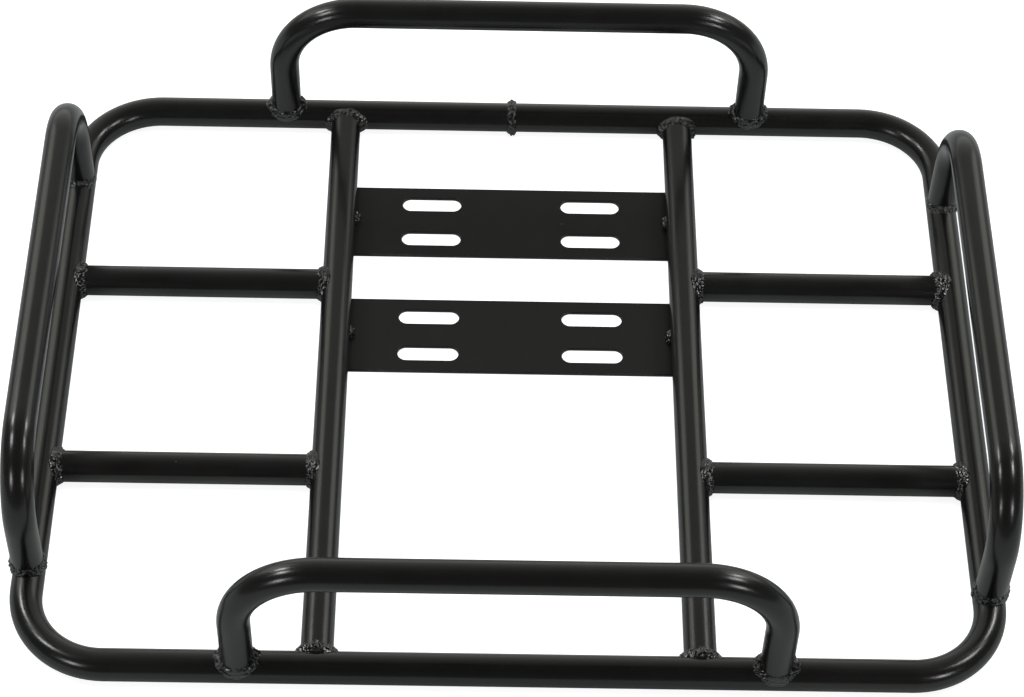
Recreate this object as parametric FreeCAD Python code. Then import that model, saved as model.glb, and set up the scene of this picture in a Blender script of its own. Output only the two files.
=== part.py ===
"""Scooter delivery box rack, welded from bent steel tube and slotted flat bar.

A rectangular ring of bent tube lies flat. Two rails and four short tubes cross it, two slotted
plates under the rails take the scooter's carrier bolts, and four hoops stand on the ring to hold
a delivery box in place. Millimetres, +X to the right, +Y to the rear, +Z up. The origin is at
the middle of the rack, level with the underside of the plates.
"""
import FreeCAD
import Part
import math
import os
from FreeCAD import Vector

# Tube, the same stock all over the rack
TUBE_DIAMETER = 16.5
TUBE_WALL = 1.5

# Base ring: outside sizes, bend to the tube's centreline, and the joint of its two ends
RACK_WIDTH = 500.5
RACK_DEPTH = 390.5
RING_BEND_RADIUS = 42.0
RING_END_GAP = 1.0

# Rails and cross tubes by their centrelines, the cross tubes from the ring's rear or front centreline
RAIL_SPACING = 190.0
LEFT_CROSS_TUBE_FROM_REAR = 127.5
LEFT_CROSS_TUBE_FROM_FRONT = 120.5
RIGHT_CROSS_TUBE_FROM_REAR = 125.0
RIGHT_CROSS_TUBE_FROM_FRONT = 119.5

# Hoops: legs and top by their centrelines, and how far each stands off the middle of its side
END_HOOP_SPAN = 265.0
END_HOOP_RISE = 81.5
END_HOOP_BEND_RADIUS = 42.0
SIDE_HOOP_SPAN = 263.0
SIDE_HOOP_RISE = 76.0
SIDE_HOOP_BEND_RADIUS = 38.0
FRONT_HOOP_OFFSET = -1.0
REAR_HOOP_OFFSET = 3.5
LEFT_HOOP_OFFSET = -0.5
RIGHT_HOOP_OFFSET = -9.0

# Slotted plates, cut from flat bar, placed by their middle lines from the ring's rear centreline
PLATE_THICKNESS = 2.0
PLATE_WIDTH = 50.0
PLATE_PAST_RAIL = 5.0
REAR_PLATE_FROM_REAR = 73.4
PLATE_SPACING = 82.0
SLOT_LENGTH = 33.0
SLOT_WIDTH = 9.5
SLOT_SPACING_X = 89.0
SLOT_SPACING_Y = 25.4

# Coped ends: how far a tube's trimmed tips reach past the near side of the tube they meet
COPE_DEPTH = 4.0

# Fillet beads round the coped ends, measured on the tube that ends there
BEAD_HALF_WIDTH = 3.8
BEAD_HEIGHT = 1.5
BEAD_SETBACK = 2.0

# Butt bead round the joint of the ring's two ends
BUTT_BEAD_HALF_WIDTH = 2.6
BUTT_BEAD_HEIGHT = 1.3

# Tack welds beside the rails and seams along the plates' ends
TACK_LENGTH = 9.0
TACK_RADIUS = 3.5
TACK_INSIDE_RAIL = 1.0
TACK_ABOVE_PLATE = 1.5
SEAM_LENGTH = 30.0
SEAM_RADIUS = 2.5
SEAM_PAST_PLATE = 1.0
SEAM_ABOVE_PLATE = 0.7

# Sizes that follow from those above
TUBE_RADIUS = TUBE_DIAMETER / 2
BORE_RADIUS = TUBE_RADIUS - TUBE_WALL
RING_Z = PLATE_THICKNESS + TUBE_RADIUS
RING_X = RACK_WIDTH / 2 - TUBE_RADIUS
RING_Y = RACK_DEPTH / 2 - TUBE_RADIUS
RAIL_X = RAIL_SPACING / 2
COPED_END = TUBE_RADIUS - COPE_DEPTH
PLATE_END_X = RAIL_X + PLATE_PAST_RAIL
LEFT_REAR_CROSS_TUBE_Y = RING_Y - LEFT_CROSS_TUBE_FROM_REAR
LEFT_FRONT_CROSS_TUBE_Y = -RING_Y + LEFT_CROSS_TUBE_FROM_FRONT
RIGHT_REAR_CROSS_TUBE_Y = RING_Y - RIGHT_CROSS_TUBE_FROM_REAR
RIGHT_FRONT_CROSS_TUBE_Y = -RING_Y + RIGHT_CROSS_TUBE_FROM_FRONT
REAR_PLATE_Y = RING_Y - REAR_PLATE_FROM_REAR
FRONT_PLATE_Y = REAR_PLATE_Y - PLATE_SPACING
UP = Vector(0, 0, 1)
RIGHT = Vector(1, 0, 0)
REAR = Vector(0, 1, 0)


def at_ring_level(x, y):
    """Point in the plane of the ring's centreline."""
    return Vector(x, y, RING_Z)


def bent_path(points, bend_radius):
    """Straight runs through the points, with a quarter-turn bend at each inner one."""
    edges = []
    run_start = points[0]
    for corner, following in zip(points[1:-1], points[2:]):
        inward = (corner - run_start).normalize()
        outward = (following - corner).normalize()
        bend_start = corner - inward * bend_radius
        bend_end = corner + outward * bend_radius
        centre = bend_start + outward * bend_radius
        bend_middle = centre + (inward - outward).normalize() * bend_radius
        edges.append(Part.LineSegment(run_start, bend_start).toShape())
        edges.append(Part.Arc(bend_start, bend_middle, bend_end).toShape())
        run_start = bend_end
    edges.append(Part.LineSegment(run_start, points[-1]).toShape())
    return Part.Wire(edges)


def rod(points, radius, bend_radius=0.0):
    """Solid round bar along a bent path."""
    path = bent_path(points, bend_radius)
    start_direction = points[1] - points[0]
    section = Part.Face(Part.Wire(Part.makeCircle(radius, points[0], start_direction)))
    return path.makePipe(section)


def coped_tube(points, mains, bend_radius=0.0):
    """Tube whose ends are cut to sit on the tubes it is welded to, and its outside as a bar."""
    outside = rod(points, TUBE_RADIUS, bend_radius)
    tube = outside.cut(rod(points, BORE_RADIUS, bend_radius))
    for main in mains:
        tube = tube.cut(main)
    return tube, outside


def round_bead(foot, along, middle, half_width, height, neighbours):
    """Weld bead round a tube that runs from foot in the direction along.

    The bead's section is a round cap on the tube's outside and goes down to its bore, so it also
    fills what the tube's trimmed end leaves open. The neighbouring metal is cut away from it.
    """
    cap_radius = (half_width ** 2 + height ** 2) / (2 * height)
    cap_depth = height + TUBE_WALL
    foot_half_width = math.sqrt(cap_depth * (2 * cap_radius - cap_depth))
    low = Vector(BORE_RADIUS, 0, middle - foot_half_width)
    crest = Vector(TUBE_RADIUS + height, 0, middle)
    high = Vector(BORE_RADIUS, 0, middle + foot_half_width)
    cap = Part.Arc(low, crest, high).toShape()
    base = Part.LineSegment(high, low).toShape()
    bead = Part.Face(Part.Wire([cap, base])).revolve(Vector(0, 0, 0), UP, 360)
    bead.Placement = FreeCAD.Placement(foot, FreeCAD.Rotation(UP, along))
    for neighbour in neighbours:
        bead = bead.cut(neighbour)
    return bead


def fillet_bead(foot, along, neighbours):
    """Bead where a coped tube stands on the centreline of another tube at foot."""
    middle = TUBE_RADIUS - BEAD_SETBACK
    return round_bead(foot, along, middle, BEAD_HALF_WIDTH, BEAD_HEIGHT, neighbours)


def straight_bead(centre, length, radius, neighbours):
    """Round-ended bead along Y, cut to fill the corner between its neighbours."""
    start = centre - REAR * (length / 2 - radius)
    end = centre + REAR * (length / 2 - radius)
    bead = Part.makeCylinder(radius, length - 2 * radius, start, REAR)
    bead = bead.fuse([Part.makeSphere(radius, start), Part.makeSphere(radius, end)])
    for neighbour in neighbours:
        bead = bead.cut(neighbour)
    return bead


def slotted_plate(middle_y):
    """Flat bar across the rails' undersides, with four round-ended slots lengthwise."""
    corner = Vector(-PLATE_END_X, middle_y - PLATE_WIDTH / 2, 0)
    plate = Part.makeBox(2 * PLATE_END_X, PLATE_WIDTH, PLATE_THICKNESS, corner)
    slot_radius = SLOT_WIDTH / 2
    slot_straight = SLOT_LENGTH - SLOT_WIDTH
    for side in (-1, 1):
        for row in (-1, 1):
            centre = Vector(side * SLOT_SPACING_X / 2, middle_y + row * SLOT_SPACING_Y / 2, 0)
            left_end = centre - RIGHT * (slot_straight / 2)
            right_end = centre + RIGHT * (slot_straight / 2)
            slot = Part.makeBox(slot_straight, SLOT_WIDTH, PLATE_THICKNESS, left_end - REAR * slot_radius)
            for end in (left_end, right_end):
                slot = slot.fuse(Part.makeCylinder(slot_radius, PLATE_THICKNESS, end))
            plate = plate.cut(slot)
    return plate


nodes = {}

# Base ring: one tube bent round four corners, its ends butted and welded at the middle of the rear
ring_points = [
    at_ring_level(RING_END_GAP / 2, RING_Y),
    at_ring_level(RING_X, RING_Y),
    at_ring_level(RING_X, -RING_Y),
    at_ring_level(-RING_X, -RING_Y),
    at_ring_level(-RING_X, RING_Y),
    at_ring_level(-RING_END_GAP / 2, RING_Y),
]
nodes["base_ring"], ring_bar = coped_tube(ring_points, [], RING_BEND_RADIUS)
nodes["ring_butt_weld"] = round_bead(
    at_ring_level(0, RING_Y), RIGHT, 0.0, BUTT_BEAD_HALF_WIDTH, BUTT_BEAD_HEIGHT, [ring_bar])

# Rails: straight tubes from the ring's front to its rear
rail_bars = {}
for name, rail_x in (("left", -RAIL_X), ("right", RAIL_X)):
    reach = RING_Y - COPED_END
    rail_points = [at_ring_level(rail_x, -reach), at_ring_level(rail_x, reach)]
    nodes[name + "_rail"], rail_bars[name] = coped_tube(rail_points, [ring_bar])
    nodes[name + "_rail_welds"] = Part.makeCompound([
        fillet_bead(at_ring_level(rail_x, end * RING_Y), REAR * -end, [ring_bar, rail_bars[name]])
        for end in (-1, 1)])

# Plates: flat bars under the rails, tacked beside them and seam welded along their ends
plates = []
plate_beads = []
for name, plate_y in (("rear", REAR_PLATE_Y), ("front", FRONT_PLATE_Y)):
    plate = slotted_plate(plate_y)
    plates.append(plate)
    nodes[name + "_slotted_plate"] = plate
    beads = []
    for side, bar in ((-1, rail_bars["left"]), (1, rail_bars["right"])):
        tack_x = side * (RAIL_X - TUBE_RADIUS + TACK_INSIDE_RAIL)
        tack_centre = Vector(tack_x, plate_y, PLATE_THICKNESS + TACK_ABOVE_PLATE)
        beads.append(straight_bead(tack_centre, TACK_LENGTH, TACK_RADIUS, [bar, plate]))
        seam_x = side * (PLATE_END_X + SEAM_PAST_PLATE)
        seam_centre = Vector(seam_x, plate_y, PLATE_THICKNESS + SEAM_ABOVE_PLATE)
        beads.append(straight_bead(seam_centre, SEAM_LENGTH, SEAM_RADIUS, [bar, plate]))
    plate_beads.extend(beads)
    nodes[name + "_plate_welds"] = Part.makeCompound(beads)

# Cross tubes: two on each side, from the rail to the ring
for name, side, place, cross_y in (
        ("left", -1, "rear", LEFT_REAR_CROSS_TUBE_Y),
        ("left", -1, "front", LEFT_FRONT_CROSS_TUBE_Y),
        ("right", 1, "rear", RIGHT_REAR_CROSS_TUBE_Y),
        ("right", 1, "front", RIGHT_FRONT_CROSS_TUBE_Y)):
    node = name + "_" + place + "_cross_tube"
    inner = at_ring_level(side * (RAIL_X + COPED_END), cross_y)
    outer = at_ring_level(side * (RING_X - COPED_END), cross_y)
    nodes[node], cross_bar = coped_tube([inner, outer], [rail_bars[name], ring_bar])
    at_rail = at_ring_level(side * RAIL_X, cross_y)
    at_ring = at_ring_level(side * RING_X, cross_y)
    nodes[node + "_welds"] = Part.makeCompound([
        fillet_bead(at_rail, RIGHT * side, [rail_bars[name], cross_bar] + plates + plate_beads),
        fillet_bead(at_ring, RIGHT * -side, [ring_bar, cross_bar])])

# Hoops: tubes bent twice, a long pair for the front and rear and a short pair for the sides
END_HOOP = (RIGHT, END_HOOP_SPAN, END_HOOP_RISE, END_HOOP_BEND_RADIUS)
SIDE_HOOP = (REAR, SIDE_HOOP_SPAN, SIDE_HOOP_RISE, SIDE_HOOP_BEND_RADIUS)
for name, middle, (across, span, rise, bend_radius) in (
        ("front", at_ring_level(FRONT_HOOP_OFFSET, -RING_Y), END_HOOP),
        ("rear", at_ring_level(REAR_HOOP_OFFSET, RING_Y), END_HOOP),
        ("left", at_ring_level(-RING_X, LEFT_HOOP_OFFSET), SIDE_HOOP),
        ("right", at_ring_level(RING_X, RIGHT_HOOP_OFFSET), SIDE_HOOP)):
    feet = [middle - across * (span / 2), middle + across * (span / 2)]
    hoop_points = [
        feet[0] + UP * COPED_END,
        feet[0] + UP * rise,
        feet[1] + UP * rise,
        feet[1] + UP * COPED_END,
    ]
    nodes[name + "_hoop"], hoop_bar = coped_tube(hoop_points, [ring_bar], bend_radius)
    nodes[name + "_hoop_welds"] = Part.makeCompound([
        fillet_bead(foot, UP, [ring_bar, hoop_bar]) for foot in feet])

os.makedirs("parts", exist_ok=True)
for node, shape in nodes.items():
    shape.exportStep("parts/" + node + ".step")
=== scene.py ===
"""Scooter delivery box rack: bent and welded steel tube with slotted plates, coated satin black.

Metres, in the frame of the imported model: +X to the right, +Y to the rear, +Z up, and the
plates' underside at zero.
"""
import math
from collections import namedtuple

import bpy
from mathutils import Matrix, Vector, noise


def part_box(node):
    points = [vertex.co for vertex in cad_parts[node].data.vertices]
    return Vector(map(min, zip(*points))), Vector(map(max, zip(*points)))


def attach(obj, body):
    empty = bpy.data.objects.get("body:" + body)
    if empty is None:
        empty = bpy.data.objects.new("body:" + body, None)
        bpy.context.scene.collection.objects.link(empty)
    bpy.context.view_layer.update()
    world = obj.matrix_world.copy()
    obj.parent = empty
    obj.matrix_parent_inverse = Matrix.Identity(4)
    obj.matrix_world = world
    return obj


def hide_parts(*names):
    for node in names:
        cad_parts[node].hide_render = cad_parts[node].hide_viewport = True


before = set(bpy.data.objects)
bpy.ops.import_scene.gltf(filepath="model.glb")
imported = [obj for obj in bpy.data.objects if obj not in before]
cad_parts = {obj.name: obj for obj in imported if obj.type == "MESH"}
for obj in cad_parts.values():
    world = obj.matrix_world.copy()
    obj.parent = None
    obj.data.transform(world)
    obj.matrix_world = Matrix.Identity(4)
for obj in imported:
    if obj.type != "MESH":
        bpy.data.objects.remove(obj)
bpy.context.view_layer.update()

# Base ring: one long steel tube bent round four corners and laid flat, its two ends butted at
# the middle of the rear. The whole rack is powder coated satin black after welding, and the
# coat has a fine orange peel and a few raised specks of dust caught in it, which are painted
# pale grey as a painted highlight.
MM = 0.001
ring_low, ring_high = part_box("base_ring")
TUBE_RADIUS = (ring_high.z - ring_low.z) / 2
TUBE_WALL = 1.5 * MM
RING_LEVEL = (ring_low.z + ring_high.z) / 2
RING_X = ring_high.x - TUBE_RADIUS
RING_Y = ring_high.y - TUBE_RADIUS
RING_BEND_RADIUS = 42 * MM
RING_END_GAP = 1 * MM
AROUND_TUBE = 48
BEND_STEPS = 22
BEND_FLATTENING = 0.025
FLATTENING_SPREAD = 0.6
SHARP_ANGLE = 40


def at_ring_level(x, y):
    """Point in the plane of the ring's centreline."""
    return Vector((x, y, RING_LEVEL))


def bent_stations(points, bend_radius):
    """Stations along straight runs and quarter-turn bends.

    A station is a place, the tube's direction there, the way to the inside of the bend, and
    the share of the flattening that the tube has there.
    """
    first = (points[1] - points[0]).normalized()
    second = (points[2] - points[1]).normalized()
    stations = [(points[0], first, second, 0.0)]
    for before, corner, after in zip(points, points[1:], points[2:]):
        inward = (corner - before).normalized()
        outward = (after - corner).normalized()
        centre = corner - inward * bend_radius + outward * bend_radius
        for step in range(BEND_STEPS + 1):
            turn = math.pi / 2 * step / BEND_STEPS
            direction = inward * math.cos(turn) + outward * math.sin(turn)
            inside = outward * math.cos(turn) - inward * math.sin(turn)
            squeeze = 0.0
            if 0 < step < BEND_STEPS:
                squeeze = math.sin(2 * turn) ** FLATTENING_SPREAD
            stations.append((centre - inside * bend_radius, direction, inside, squeeze))
    last_direction, last_inside = stations[-1][1:3]
    stations.append((points[-1], last_direction, last_inside, 0.0))
    return stations


def smooth_piece(name, mesh, sharp_angle):
    """Piece of a mesh, with smooth shading broken only at sharp edges."""
    mesh.polygons.foreach_set("use_smooth", [True] * len(mesh.polygons))
    mesh.set_sharp_from_angle(angle=math.radians(sharp_angle))
    piece = bpy.data.objects.new(name, mesh)
    bpy.context.scene.collection.objects.link(piece)
    return piece


def skin_piece(name, vertices, faces, sharp_angle=SHARP_ANGLE):
    """Piece with a skin of vertices and faces."""
    mesh = bpy.data.meshes.new(name)
    mesh.from_pydata([tuple(v) for v in vertices], [], faces)
    mesh.validate()
    return smooth_piece(name, mesh, sharp_angle)


def tube_piece(name, stations, start_cut=None, end_cut=None):
    """Hollow tube through the stations.

    A cut gives how far an end of the tube draws back at each place round it.
    """
    vertices = []
    faces = []
    rings = len(stations)
    for radius in (TUBE_RADIUS, TUBE_RADIUS - TUBE_WALL):
        for index, (centre, direction, inside, squeeze) in enumerate(stations):
            side = direction.cross(inside)
            flat = 1 - BEND_FLATTENING * squeeze
            for step in range(AROUND_TUBE):
                angle = 2 * math.pi * step / AROUND_TUBE
                out = inside * (math.cos(angle) * flat) + side * math.sin(angle)
                place = centre + out * radius
                if index == 0 and start_cut:
                    place = place + direction * start_cut(out, radius)
                if index == rings - 1 and end_cut:
                    place = place - direction * end_cut(out, radius)
                vertices.append(place)
    bore = rings * AROUND_TUBE
    last = (rings - 1) * AROUND_TUBE
    for step in range(AROUND_TUBE):
        after = (step + 1) % AROUND_TUBE
        for index in range(rings - 1):
            low = index * AROUND_TUBE
            high = low + AROUND_TUBE
            faces.append((low + step, high + step, high + after, low + after))
            faces.append((bore + low + after, bore + high + after,
                          bore + high + step, bore + low + step))
        faces.append((step, after, bore + after, bore + step))
        faces.append((last + after, last + step, bore + last + step, bore + last + after))
    return skin_piece(name, vertices, faces)


class Wire:
    """One socket of a material's nodes, with arithmetic that adds Math nodes."""

    def __init__(self, tree, socket=None):
        self.tree = tree
        self.socket = socket

    def node(self, kind, settings=(), inputs=(), output=0):
        """A new node: its settings are set first, then its inputs get their values or links."""
        made = self.tree.nodes.new(kind)
        for name, value in dict(settings).items():
            setattr(made, name, value)
        for key, value in dict(inputs).items():
            if isinstance(value, Wire):
                self.tree.links.new(value.socket, made.inputs[key])
            else:
                made.inputs[key].default_value = value
        return Wire(self.tree, made.outputs[output])

    def math(self, operation, first, second):
        return self.node("ShaderNodeMath", {"operation": operation}, {0: first, 1: second})

    def __add__(self, other):
        return self.math("ADD", self, other)

    def __sub__(self, other):
        return self.math("SUBTRACT", self, other)

    def __rsub__(self, other):
        return self.math("SUBTRACT", other, self)

    def __mul__(self, other):
        return self.math("MULTIPLY", self, other)

    def __lt__(self, other):
        return self.math("LESS_THAN", self, other)

    __radd__ = __add__
    __rmul__ = __mul__

    def mix(self, low, high):
        """Colour between low and high, by this wire's value."""
        colours = {0: self, 6: low, 7: high}
        return self.node("ShaderNodeMix", {"data_type": "RGBA"}, colours, output=2)


def grey(level, warm=0.0):
    """Near-neutral colour, a little warmer or cooler."""
    return (level * (1 + warm), level, level * (1 - warm), 1)


COAT_WARMTH = 0.05
CLOUD_SCALE = 55.0
CLOUD_IN_ROUGHNESS = 0.12
PEEL_SCALE = 1100.0
PEEL_IN_ROUGHNESS = 0.06
PEEL_STRENGTH = 0.5
DUST_SCALE = 70.0
# Pale grey of the specks: a painted highlight on the raised dust, not the dust's own colour.
DUST_GLINT_TONE = 0.12
DUST_GLINT_COVER = 0.7
DUST_HEIGHT = 1.5
NOISE_MIDDLE = 0.5


def powder_coat(name, dark, light, roughness, peel_depth, speck_share, shine):
    """Powder coat: cloudy tone, orange peel, and raised specks of dust under the skin, painted
    pale as a painted highlight.
    """
    material = bpy.data.materials.new(name)
    material.use_nodes = True
    tree = material.node_tree
    shader = tree.nodes["Principled BSDF"]
    here = Wire(tree)
    place = here.node("ShaderNodeTexCoord", output="Object")
    cloud = here.node("ShaderNodeTexNoise", {}, {
        "Vector": place, "Scale": CLOUD_SCALE, "Detail": 4.0, "Roughness": 0.6})
    peel = here.node("ShaderNodeTexNoise", {}, {
        "Vector": place, "Scale": PEEL_SCALE, "Detail": 2.0, "Roughness": 0.5})
    dust_places = {"Vector": place, "Scale": DUST_SCALE}
    dust = here.node("ShaderNodeTexVoronoi", {}, dust_places)
    dust_draw = here.node("ShaderNodeTexVoronoi", {}, dust_places, output="Color")
    dust_size = here.node("ShaderNodeSeparateColor", {}, {"Color": dust_draw})
    dust_and_glint_speck = dust < (dust_size - NOISE_MIDDLE) * speck_share
    tone = cloud.mix(grey(dark, COAT_WARMTH), grey(light, COAT_WARMTH))
    # The specks are painted pale grey as a painted highlight; their bump below is the real raised
    # dust.
    colour = (dust_and_glint_speck * DUST_GLINT_COVER).mix(tone, grey(DUST_GLINT_TONE, COAT_WARMTH))
    tree.links.new(colour.socket, shader.inputs["Base Color"])
    cloudy = roughness + (cloud - NOISE_MIDDLE) * CLOUD_IN_ROUGHNESS
    uneven = cloudy + (peel - NOISE_MIDDLE) * PEEL_IN_ROUGHNESS
    tree.links.new(uneven.socket, shader.inputs["Roughness"])
    height = peel + dust_and_glint_speck * DUST_HEIGHT
    bump = here.node("ShaderNodeBump", {}, {
        "Strength": PEEL_STRENGTH, "Distance": peel_depth, "Height": height})
    tree.links.new(bump.socket, shader.inputs["Normal"])
    shader.inputs["IOR"].default_value = shine
    return material


tube_coat = powder_coat(
    "satin_black_tube", dark=0.0026, light=0.0040, roughness=0.23,
    peel_depth=0.03 * MM, speck_share=0.04, shine=1.5)


def dress(piece, node, material):
    """Gives a piece its finish and sets it in the place of its node."""
    piece.data.materials.append(material)
    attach(piece, "root")
    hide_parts(node)


ring_corners = [
    at_ring_level(RING_END_GAP / 2, RING_Y),
    at_ring_level(RING_X, RING_Y),
    at_ring_level(RING_X, -RING_Y),
    at_ring_level(-RING_X, -RING_Y),
    at_ring_level(-RING_X, RING_Y),
    at_ring_level(-RING_END_GAP / 2, RING_Y),
]
ring_tube = tube_piece("ring_tube", bent_stations(ring_corners, RING_BEND_RADIUS))
dress(ring_tube, "base_ring", tube_coat)

# Butt weld: the bead of weld metal that closes the ring at the middle of its rear. It was laid
# by hand in overlapping blobs and left as it fell, so the coat on it is lumpy and shines.
UP = Vector((0, 0, 1))
RIGHT = Vector((1, 0, 0))
BUTT_HALF_WIDTH = 2.6 * MM
BUTT_PROUD = 1.5 * MM
BUTT_LUMPS = 1.5
BUTT_UNEVENNESS = 0.3
BUTT_TOE_WAVE = 3 * MM
BUTT_TOES_APART = 9 * MM
BUTT_CROWN_WAVE = 4 * MM
BUTT_SEED = 1
BEAD_STEPS = 168
BEAD_PROFILE = 22
BEAD_FULLNESS = 0.65
BEAD_SHARP_ANGLE = 75
MID_CREST = 0.5
TOE_SINK = 0.12 * MM
DROPLET_SIZE = 1.7 * MM
DROPLET_REACH = 0.8
DROPLET_HEIGHT = 0.85 * MM
DROPLET_LEVEL = 0.45
RIPPLE_SIZE = 1.0 * MM
RIPPLE_HEIGHT = 0.3 * MM
LAYERS = 3
LAYER_HEIGHT = 0.09 * MM
SEED_STEPS = (7.3, 3.1, 5.7)
SEED_SHIFT = 17 * MM


def wander(place, size, seed):
    """Smooth noise between about -1 and 1 that changes over lengths of the given size."""
    return noise.noise(place / size + Vector([seed * step for step in SEED_STEPS]))


def lump(place, seed):
    """Height of the frozen droplets and ripples on a bead."""
    shifted = place + Vector((seed, seed * 2, seed * 3)) * SEED_SHIFT
    nearest = noise.voronoi(shifted / DROPLET_SIZE)[0][0]
    droplet = max(0.0, 1 - (nearest / DROPLET_REACH) ** 2) - DROPLET_LEVEL
    return DROPLET_HEIGHT * droplet + RIPPLE_HEIGHT * wander(place, RIPPLE_SIZE, seed)


def bead_piece(name, beads):
    """One closed lumpy skin for each bead.

    A bead is a seed, whether it closes on itself, and its sections. A section holds the toe on
    the one side, the toe on the other, a point inside the metal, the way out, how far it bulges
    there, how lumpy it is, and how far across from the first toe it stands highest.
    """
    vertices = []
    faces = []
    loop = BEAD_PROFILE + 1
    for seed, closed, sections in beads:
        base = len(vertices)
        for toe, far_toe, root, out, bulge, lumps, crest in sections:
            for step in range(BEAD_PROFILE):
                share = step / (BEAD_PROFILE - 1)
                leaned = share ** (math.log(MID_CREST) / math.log(crest))
                arch = max(0.0, 4 * leaned * (1 - leaned)) ** BEAD_FULLNESS
                flat_place = toe.lerp(far_toe, share)
                lift = bulge * arch
                lift += lump(flat_place + out * lift, seed) * arch * lumps
                lift += LAYER_HEIGHT * arch * math.sin(2 * math.pi * LAYERS * share)
                vertices.append(flat_place + out * lift)
            vertices.append(root)
        count = len(sections)
        for index in range(count if closed else count - 1):
            here = base + index * loop
            after = base + (index + 1) % count * loop
            for step in range(loop):
                beside = (step + 1) % loop
                faces.append((here + step, after + step, after + beside, here + beside))
        if not closed:
            last = base + (count - 1) * loop
            faces.append(tuple(base + step for step in range(loop)))
            faces.append(tuple(last + step for step in reversed(range(loop))))
    return skin_piece(name, vertices, faces, BEAD_SHARP_ANGLE)


def butt_sections(centre, along, seed):
    """Sections of a bead that runs round a tube over its butted ends."""
    sections = []
    side = UP.cross(along)
    for step in range(BEAD_STEPS):
        angle = 2 * math.pi * step / BEAD_STEPS
        out = UP * math.cos(angle) + side * math.sin(angle)
        skin = centre + out * (TUBE_RADIUS - TOE_SINK)
        toes = []
        for end in (-1, 1):
            toe_rough = wander(skin + along * (end * BUTT_TOES_APART), BUTT_TOE_WAVE, seed)
            half = BUTT_HALF_WIDTH * (1 + BUTT_UNEVENNESS * toe_rough)
            toes.append(skin + along * (end * half))
        crown_rough = wander(skin, BUTT_CROWN_WAVE, seed + 1)
        proud = BUTT_PROUD * (1 + BUTT_UNEVENNESS * crown_rough)
        root = centre + out * (TUBE_RADIUS - TUBE_WALL)
        sections.append((toes[0], toes[1], root, out, proud, BUTT_LUMPS, MID_CREST))
    return sections


weld_coat = powder_coat(
    "black_over_weld", dark=0.0012, light=0.0022, roughness=0.08,
    peel_depth=0.22 * MM, speck_share=0.0, shine=1.65)
butt_line = butt_sections(at_ring_level(0, RING_Y), RIGHT, BUTT_SEED)
butt_weld = bead_piece("butt_weld", [(BUTT_SEED, True, butt_line)])
dress(butt_weld, "ring_butt_weld", weld_coat)

# Rails: two straight tubes from the ring's front to its rear. Their ends are cut to the round of
# the ring with the thin tips trimmed off, and welded all round with hand-laid fillet beads.
REAR = Vector((0, 1, 0))
TIP_STOP = RING_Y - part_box("left_rail")[1].y
TIP_TRIM = math.sqrt(1 - (TIP_STOP / TUBE_RADIUS) ** 2)
FilletBead = namedtuple(
    "FilletBead", "leg reach proud lumps side_leg side_reach side_proud side_lumps crest",
    defaults=(MID_CREST,))
RAIL_BEAD = FilletBead(
    leg=0.4 * MM, reach=6.5 * MM, proud=1.1 * MM, lumps=1.0,
    side_leg=3.0 * MM, side_reach=2.6 * MM, side_proud=0.3 * MM, side_lumps=0.8)
LEFT_REAR_BEAD = FilletBead(
    leg=2.0 * MM, reach=3.6 * MM, proud=0.9 * MM, lumps=1.3,
    side_leg=4.0 * MM, side_reach=2.4 * MM, side_proud=0.4 * MM, side_lumps=0.8)
RIGHT_REAR_BEAD = FilletBead(
    leg=0.2 * MM, reach=6.4 * MM, proud=1.3 * MM, lumps=1.6,
    side_leg=3.2 * MM, side_reach=3.4 * MM, side_proud=0.8 * MM, side_lumps=1.2)
LEG_WAVE = 3.2 * MM
LEG_WAVE_RADIUS = 9 * MM
LEG_UNEVENNESS = 0.32
REACH_WAVE = 2.6 * MM
REACH_WAVE_RADIUS = 19 * MM
REACH_UNEVENNESS = 0.3
PROUD_UNEVENNESS = 0.25
RAIL_SEED = 2
SEEDS_EACH = 10


def straight_stations(start, end, inside):
    """The two ends of a straight tube."""
    direction = (end - start).normalized()
    return [(start, direction, inside, 0.0), (end, direction, inside, 0.0)]


def cope(main_along):
    """Cut of a tube's end that sits on a tube along main_along, counted from its trimmed tips."""
    def cut(out, radius):
        along_main = min(1.0, abs(out.dot(main_along)))
        off_main = radius * TIP_TRIM * math.sqrt(max(0.0, 1 - along_main ** 2))
        return math.sqrt(TUBE_RADIUS ** 2 - off_main ** 2) - TIP_STOP
    return cut


def between(value, side_value, beside):
    """Value of a bead part of the way round to its sides."""
    return value + (side_value - value) * beside


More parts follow.
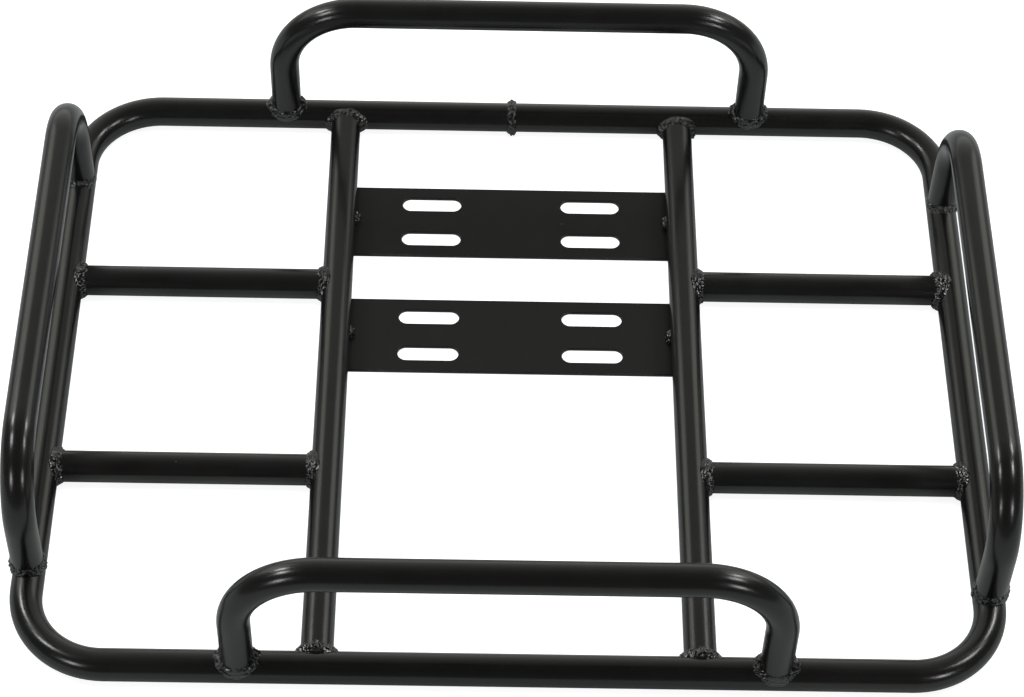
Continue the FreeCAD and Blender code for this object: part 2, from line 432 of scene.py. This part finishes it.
def saddle_sections(foot, along, main_along, seed, bead):
    """Sections of the fillet bead round a tube that stands at foot on another along main_along.

    The bead's leg lies on the other tube and its reach on the standing one. Its side values hold
    at the two places that face along the other tube.
    """
    sections = []
    across = along.cross(main_along)
    for step in range(BEAD_STEPS):
        angle = 2 * math.pi * step / BEAD_STEPS
        cosine = math.cos(angle)
        sine = math.sin(angle)
        beside = abs(cosine)
        radial = main_along * cosine + across * sine
        round_main = math.asin(TIP_TRIM * sine)
        seat = TUBE_RADIUS * math.cos(round_main)
        run = Vector((TIP_TRIM * cosine / math.cos(round_main), sine)).normalized()
        leg_rough = wander(foot + radial * LEG_WAVE_RADIUS, LEG_WAVE, seed)
        reach_rough = wander(foot + radial * REACH_WAVE_RADIUS, REACH_WAVE, seed)
        leg = between(bead.leg, bead.side_leg, beside) * (1 + LEG_UNEVENNESS * leg_rough)
        reach = between(bead.reach, bead.side_reach, beside) * (1 + REACH_UNEVENNESS * reach_rough)
        proud = between(bead.proud, bead.side_proud, beside) * (1 + PROUD_UNEVENNESS * leg_rough)
        lumps = between(bead.lumps, bead.side_lumps, beside)
        crest = between(bead.crest, MID_CREST, beside)
        toe_turn = round_main + leg * run.y / TUBE_RADIUS
        main_skin = along * math.cos(toe_turn) + across * math.sin(toe_turn)
        toe_line = foot + main_along * (TUBE_RADIUS * cosine + leg * run.x)
        toe = toe_line + main_skin * (TUBE_RADIUS - TOE_SINK)
        far_toe = foot + radial * (TUBE_RADIUS - TOE_SINK) + along * (seat + reach)
        root = foot + radial * (TUBE_RADIUS - TUBE_WALL) + along * seat
        out = (radial + along * beside).normalized()
        sections.append((toe, far_toe, root, out, proud, lumps, crest))
    return sections


def weld_ends(name, node, joints, main_along, seed):
    """Fillet beads of a tube. A joint is a foot, the way along the tube, and its bead."""
    beads = []
    for bead_seed, (foot, along, bead) in enumerate(joints, seed * SEEDS_EACH + 1):
        sections = saddle_sections(foot, along, main_along, bead_seed, bead)
        beads.append((bead_seed, True, sections))
    dress(bead_piece(name, beads), node, weld_coat)


rail_places = {}
for seed, name in enumerate(("left", "right"), RAIL_SEED):
    low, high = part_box(name + "_rail")
    rail_x = (low.x + high.x) / 2
    rail_places[name] = rail_x
    start = at_ring_level(rail_x, low.y)
    end = at_ring_level(rail_x, high.y)
    cut = cope(RIGHT)
    rail = tube_piece(name + "_rail_tube", straight_stations(start, end, UP), cut, cut)
    dress(rail, name + "_rail", tube_coat)
    rear_bead = LEFT_REAR_BEAD if name == "left" else RIGHT_REAR_BEAD
    joints = (
        (at_ring_level(rail_x, -RING_Y), REAR, RAIL_BEAD),
        (at_ring_level(rail_x, RING_Y), -REAR, rear_bead),
    )
    weld_ends(name + "_rail_beads", name + "_rail_welds", joints, RIGHT, seed)

# Slotted plates: two lengths of flat steel bar across the undersides of the rails, each with
# four punched slots for the carrier's bolts. Their edges are broken and carry a thick coat.
SLOT_LENGTH = 33 * MM
SLOT_WIDTH = 9.5 * MM
SLOT_SPACING_X = 89 * MM
SLOT_SPACING_Y = 25.4 * MM
SLOT_END_STEPS = 14
EDGE_BREAK = 0.35 * MM
EDGE_STEPS = 3
PLATE_SHARP_ANGLE = 50


def closed_line(curve, points):
    """Adds a closed straight-sided line to a flat curve."""
    line = curve.splines.new("POLY")
    line.points.add(len(points) - 1)
    for point, (x, y) in zip(line.points, points):
        point.co = (x, y, 0, 1)
    line.use_cyclic_u = True


def plate_piece(name, low, high):
    """Flat bar with four round-ended slots and broken edges."""
    curve = bpy.data.curves.new(name, "CURVE")
    curve.dimensions = "2D"
    curve.fill_mode = "BOTH"
    curve.bevel_depth = EDGE_BREAK
    curve.bevel_resolution = EDGE_STEPS
    curve.offset = -EDGE_BREAK
    curve.extrude = (high.z - low.z) / 2 - EDGE_BREAK
    closed_line(curve, [(low.x, low.y), (high.x, low.y), (high.x, high.y), (low.x, high.y)])
    for side in (-1, 1):
        for row in (-1, 1):
            centre_x = (low.x + high.x) / 2 + side * SLOT_SPACING_X / 2
            centre_y = (low.y + high.y) / 2 + row * SLOT_SPACING_Y / 2
            points = []
            for end in (1, -1):
                for step in range(SLOT_END_STEPS + 1):
                    turn = math.pi * step / SLOT_END_STEPS - math.pi / 2
                    x = end * ((SLOT_LENGTH - SLOT_WIDTH) / 2 + SLOT_WIDTH / 2 * math.cos(turn))
                    y = end * SLOT_WIDTH / 2 * math.sin(turn)
                    points.append((centre_x + x, centre_y + y))
            closed_line(curve, points)
    drawn = bpy.data.objects.new(name + "_line", curve)
    bpy.context.scene.collection.objects.link(drawn)
    bpy.context.view_layer.update()
    filled = drawn.evaluated_get(bpy.context.evaluated_depsgraph_get())
    mesh = bpy.data.meshes.new_from_object(filled)
    bpy.data.objects.remove(drawn)
    mesh.transform(Matrix.Translation(UP * ((low.z + high.z) / 2)))
    mesh.materials.clear()
    return smooth_piece(name, mesh, PLATE_SHARP_ANGLE)


plate_coat = powder_coat(
    "satin_black_plate", dark=0.0012, light=0.0020, roughness=0.36,
    peel_depth=0.04 * MM, speck_share=0.06, shine=1.44)
plate_boxes = {}
for name in ("rear", "front"):
    plate_boxes[name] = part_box(name + "_slotted_plate")
    plate = plate_piece(name + "_plate", *plate_boxes[name])
    dress(plate, name + "_slotted_plate", plate_coat)

# Plate welds: a short tack beside each rail on top, which shows as a small shiny blob, and a
# seam along each end of the plate where it lies under the rail.
CornerBead = namedtuple("CornerBead", "half_length steps thin_turn full_turn lean proud")
TACK = CornerBead(
    half_length=4.5 * MM, steps=36, thin_turn=40, full_turn=66, lean=1.0, proud=1.0 * MM)
SEAM = CornerBead(
    half_length=15 * MM, steps=90, thin_turn=38, full_turn=58, lean=-0.3, proud=0.9 * MM)
TACK_THIN_TOE = 6.2 * MM
TACK_FULL_TOE = 10.6 * MM
SEAM_BELOW_TOP = 0.4 * MM
SEAM_ABOVE_FOOT = 0.5 * MM
CORNER_TAPER = 3
CORNER_WAVE = 2.5 * MM
CORNER_UNEVENNESS = 0.22
ROOT_TURN_SHARE = 0.7
PLATE_SEED = 5
SEAM_SEED_STEP = 4


def on_rail(rail_x, side, degrees_from_below, y):
    """Point on a rail's skin, turned from its lowest line towards side."""
    turn = math.radians(degrees_from_below)
    out = RIGHT * (side * math.sin(turn)) - UP * math.cos(turn)
    return at_ring_level(rail_x, y) + out * (TUBE_RADIUS - TOE_SINK)


def corner_sections(bead, rail_x, side, middle_y, thin_toe, full_toe, seed):
    """Sections of a short bead in the corner between a rail and a plate, tapering at both ends.

    A toe is given by how far it lies to the side of the rail's middle, and by its height.
    """
    sections = []
    out = (RIGHT * side + UP * bead.lean).normalized()
    for step in range(bead.steps + 1):
        along = 2 * step / bead.steps - 1
        full = math.sqrt(max(0.0, 1 - abs(along) ** CORNER_TAPER))
        y = middle_y + along * bead.half_length
        rough = 1 + CORNER_UNEVENNESS * wander(Vector((rail_x, y, side * MM)), CORNER_WAVE, seed)
        turn = bead.thin_turn + (bead.full_turn - bead.thin_turn) * full * rough
        far_toe = on_rail(rail_x, side, turn, y)
        thin_place = Vector((rail_x + side * thin_toe[0], y, thin_toe[1]))
        full_place = Vector((rail_x + side * full_toe[0], y, full_toe[1]))
        toe = thin_place.lerp(full_place, full * rough)
        root = on_rail(rail_x, side, bead.thin_turn * ROOT_TURN_SHARE, y)
        sections.append((toe, far_toe, root, out, bead.proud * full * rough, full, MID_CREST))
    return sections


for seed, name in enumerate(("rear", "front"), PLATE_SEED):
    low, high = plate_boxes[name]
    middle_y = (low.y + high.y) / 2
    plate_top = high.z - TOE_SINK
    beads = []
    for tack_seed, rail_x in enumerate(rail_places.values(), seed * SEEDS_EACH):
        inward = -1 if rail_x > 0 else 1
        tack_toes = ((TACK_THIN_TOE, plate_top), (TACK_FULL_TOE, plate_top))
        tack = corner_sections(TACK, rail_x, inward, middle_y, *tack_toes, tack_seed)
        beads.append((tack_seed, False, tack))
        seam_seed = tack_seed + SEAM_SEED_STEP
        plate_end = high.x - abs(rail_x) - TOE_SINK
        seam_toes = ((plate_end, high.z - SEAM_BELOW_TOP), (plate_end, low.z + SEAM_ABOVE_FOOT))
        seam = corner_sections(SEAM, rail_x, -inward, middle_y, *seam_toes, seam_seed)
        beads.append((seam_seed, False, seam))
    dress(bead_piece(name + "_plate_beads", beads), name + "_plate_welds", weld_coat)

# Cross tubes: two short tubes on each side that tie the rails to the ring at the same level, with
# the same coped ends and fillet beads as the rails. One bead, at the right rear, was laid wider.
WIDE_BEAD = FilletBead(
    leg=3.6 * MM, reach=6.0 * MM, proud=1.4 * MM, lumps=1.3,
    side_leg=3.4 * MM, side_reach=3.0 * MM, side_proud=0.5 * MM, side_lumps=1.0)
CROSS_SEED = 7
for seed, name in enumerate(("left_rear", "left_front", "right_rear", "right_front"), CROSS_SEED):
    node = name + "_cross_tube"
    low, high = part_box(node)
    side = 1 if low.x > 0 else -1
    tube_y = (low.y + high.y) / 2
    rail_x = rail_places[name.split("_")[0]]
    start = at_ring_level(side * min(abs(low.x), abs(high.x)), tube_y)
    end = at_ring_level(side * max(abs(low.x), abs(high.x)), tube_y)
    cut = cope(REAR)
    tube = tube_piece(node + "_piece", straight_stations(start, end, UP), cut, cut)
    dress(tube, node, tube_coat)
    ring_bead = WIDE_BEAD if name == "right_rear" else RAIL_BEAD
    joints = (
        (at_ring_level(rail_x, tube_y), RIGHT * side, RAIL_BEAD),
        (at_ring_level(side * RING_X, tube_y), RIGHT * -side, ring_bead),
    )
    weld_ends(node + "_beads", node + "_welds", joints, REAR, seed)

# Hoops: four tubes bent twice and stood on the ring to keep a box from sliding off, a larger
# pair at the front and rear and a smaller pair at the sides, coped and welded at both feet.
END_HOOP_BEND_RADIUS = 42 * MM
SIDE_HOOP_BEND_RADIUS = 38 * MM
END_BEAD = FilletBead(
    leg=2.4 * MM, reach=6.6 * MM, proud=1.7 * MM, lumps=0.3,
    side_leg=3.2 * MM, side_reach=2.4 * MM, side_proud=0.7 * MM, side_lumps=1.7, crest=0.26)
SIDE_FRONT_BEAD = FilletBead(
    leg=2.4 * MM, reach=8.5 * MM, proud=1.3 * MM, lumps=1.8,
    side_leg=1.4 * MM, side_reach=4.2 * MM, side_proud=0.2 * MM, side_lumps=0.7, crest=0.3)
SIDE_REAR_BEAD = FilletBead(
    leg=4.0 * MM, reach=3.2 * MM, proud=0.8 * MM, lumps=0.7,
    side_leg=3.0 * MM, side_reach=2.6 * MM, side_proud=0.2 * MM, side_lumps=1.2)
END_HOOP = (RIGHT, END_HOOP_BEND_RADIUS, (END_BEAD, END_BEAD))
SIDE_HOOP = (REAR, SIDE_HOOP_BEND_RADIUS, (SIDE_FRONT_BEAD, SIDE_REAR_BEAD))
HOOPS = {"front": END_HOOP, "rear": END_HOOP, "left": SIDE_HOOP, "right": SIDE_HOOP}
HOOP_SEED = 11
for seed, name in enumerate(HOOPS, HOOP_SEED):
    across, bend_radius, foot_beads = HOOPS[name]
    low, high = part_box(name + "_hoop")
    middle = (low + high) / 2
    half_span = (high - low).dot(across) / 2 - TUBE_RADIUS
    feet = [Vector((middle.x, middle.y, low.z)) + across * (end * half_span) for end in (-1, 1)]
    rise = UP * (high.z - TUBE_RADIUS - low.z)
    hoop_points = [feet[0], feet[0] + rise, feet[1] + rise, feet[1]]
    cut = cope(across)
    hoop = tube_piece(name + "_hoop_tube", bent_stations(hoop_points, bend_radius), cut, cut)
    dress(hoop, name + "_hoop", tube_coat)
    joints = [(at_ring_level(foot.x, foot.y), UP, bead) for foot, bead in zip(feet, foot_beads)]
    weld_ends(name + "_hoop_beads", name + "_hoop_welds", joints, across, seed)

# Studio: a pale table under a lamp that no piece mirrors, a light wall at the rear that fades
# upwards, and dark air elsewhere. Three small soft boxes on each side draw the streaks on the
# bends, and a dim panel at each rear corner draws the stripes along the rails.
FLOOR_HALF_SIZE = 12.0
FLOOR_DROP = 0.2 * MM
TABLE_COLOUR = (0.325, 0.345, 0.341, 1)
TABLE_ROUGHNESS = 0.9
TABLE_GLOW = 0.90
floor_corners = [(x * FLOOR_HALF_SIZE, y * FLOOR_HALF_SIZE, -FLOOR_DROP)
                 for x, y in ((-1, -1), (1, -1), (1, 1), (-1, 1))]
floor = skin_piece("floor", floor_corners, [(0, 1, 2, 3)])
table = bpy.data.materials.new("pale_table")
table.use_nodes = True
table_shader = table.node_tree.nodes["Principled BSDF"]
table_shader.inputs["Base Color"].default_value = TABLE_COLOUR
table_shader.inputs["Roughness"].default_value = TABLE_ROUGHNESS
table_shader.inputs["Specular IOR Level"].default_value = 0.0
table_shader.inputs["Emission Strength"].default_value = 1.0
table_seen = Wire(table.node_tree).node("ShaderNodeLightPath", output="Is Camera Ray")
table_glow = table_seen.mix(grey(0.0), grey(TABLE_GLOW))
table.node_tree.links.new(table_glow.socket, table_shader.inputs["Emission Color"])
floor.data.materials.append(table)

Lamp = namedtuple("Lamp", "size power colour mirrored", defaults=((1, 1, 1), True))
TABLE_LAMP = Lamp(size=1.6, power=55.0, mirrored=False)
SOFT_BOX = Lamp(size=0.24, power=3.3)
FRONT_BOX = Lamp(size=0.24, power=2.8)
REAR_PANEL = Lamp(size=0.72, power=1.95, colour=(1, 1, 0.90))
for name, kind, place in (
        ("table_lamp", TABLE_LAMP, (0.0, 0.0, 2.2)),
        ("left_rear_box", SOFT_BOX, (-1.00, 0.44, 1.07)),
        ("right_rear_box", SOFT_BOX, (1.00, 0.44, 1.07)),
        ("left_side_box", SOFT_BOX, (-0.95, -0.12, 1.12)),
        ("right_side_box", SOFT_BOX, (0.95, -0.12, 1.12)),
        ("left_front_box", FRONT_BOX, (-0.95, -1.12, 0.75)),
        ("right_front_box", FRONT_BOX, (0.95, -1.12, 0.75)),
        ("left_panel", REAR_PANEL, (-1.00, 0.74, 0.75)),
        ("right_panel", REAR_PANEL, (1.00, 0.74, 0.75))):
    light = bpy.data.lights.new(name, "AREA")
    light.shape = "SQUARE"
    light.size = kind.size
    light.energy = kind.power
    light.color = kind.colour
    lamp = bpy.data.objects.new(name, light)
    lamp.location = place
    lamp.rotation_euler = Vector(place).to_track_quat("Z", "Y").to_euler()
    lamp.visible_glossy = kind.mirrored
    bpy.context.scene.collection.objects.link(lamp)

AIR_TONE = 0.07
HORIZON_TONE = 0.10
WALL_TONE = 0.72
WALL_SPREAD = 1.5
WALL_SIDE_FADE = 0.85
WALL_FOOT_SPREAD = 6.0
WALL_FOOT_GAIN = 0.8
STUDIO_BLUE = 0.97
BACKDROP_TONE = 0.90
world = bpy.data.worlds.new("studio")
world.use_nodes = True
bpy.context.scene.world = world
sky = Wire(world.node_tree)
way = sky.node("ShaderNodeTexCoord", output="Generated")
way_x = sky.node("ShaderNodeSeparateXYZ", {}, {0: way}, output="X")
way_y = sky.node("ShaderNodeSeparateXYZ", {}, {0: way}, output="Y")
way_z = sky.node("ShaderNodeSeparateXYZ", {}, {0: way}, output="Z")
rearward = sky.math("POWER", sky.math("MAXIMUM", way_y, 0.0), WALL_SPREAD)
low_down = sky.math("POWER", sky.math("MAXIMUM", 1 - way_z, 0.0), WALL_FOOT_SPREAD)
wall = rearward * WALL_TONE * (1 - way_x * way_x * WALL_SIDE_FADE)
wall = wall * (1 + low_down * WALL_FOOT_GAIN)
tone = AIR_TONE + HORIZON_TONE * (1 - way_z) * (1 - way_z) + wall
shade = sky.node("ShaderNodeCombineColor", {}, {0: tone, 1: tone, 2: tone * STUDIO_BLUE})
backdrop_seen = sky.node("ShaderNodeLightPath", output="Is Camera Ray")
backdrop = backdrop_seen.mix(shade, grey(BACKDROP_TONE))
world.node_tree.links.new(backdrop.socket, world.node_tree.nodes["Background"].inputs["Color"])

# Camera: where the photograph was taken from, found from the rack's own edges. Its place is
# counted from the middle of the ring, and its turns are about X, Y and Z in radians.
PHOTO_WIDTH = 1024
FOCAL_PIXELS = 2811.6
CAMERA_PLACE = (-20.4 * MM, -930.1 * MM, 1181.3 * MM)
CAMERA_TURN = (0.67518, -0.02688, 0.02053)
camera_data = bpy.data.cameras.new("camera")
camera_data.sensor_fit = "HORIZONTAL"
camera_data.lens = camera_data.sensor_width * FOCAL_PIXELS / PHOTO_WIDTH
camera = bpy.data.objects.new("camera", camera_data)
turn_x, turn_y, turn_z = (Matrix.Rotation(turn, 3, axis) for turn, axis in zip(CAMERA_TURN, "XYZ"))
camera.rotation_euler = (turn_z @ turn_x @ turn_y).to_euler()
camera.location = Vector(CAMERA_PLACE) + UP * RING_LEVEL
bpy.context.scene.collection.objects.link(camera)
bpy.context.scene.camera = camera
bpy.context.scene.view_settings.view_transform = "Standard"
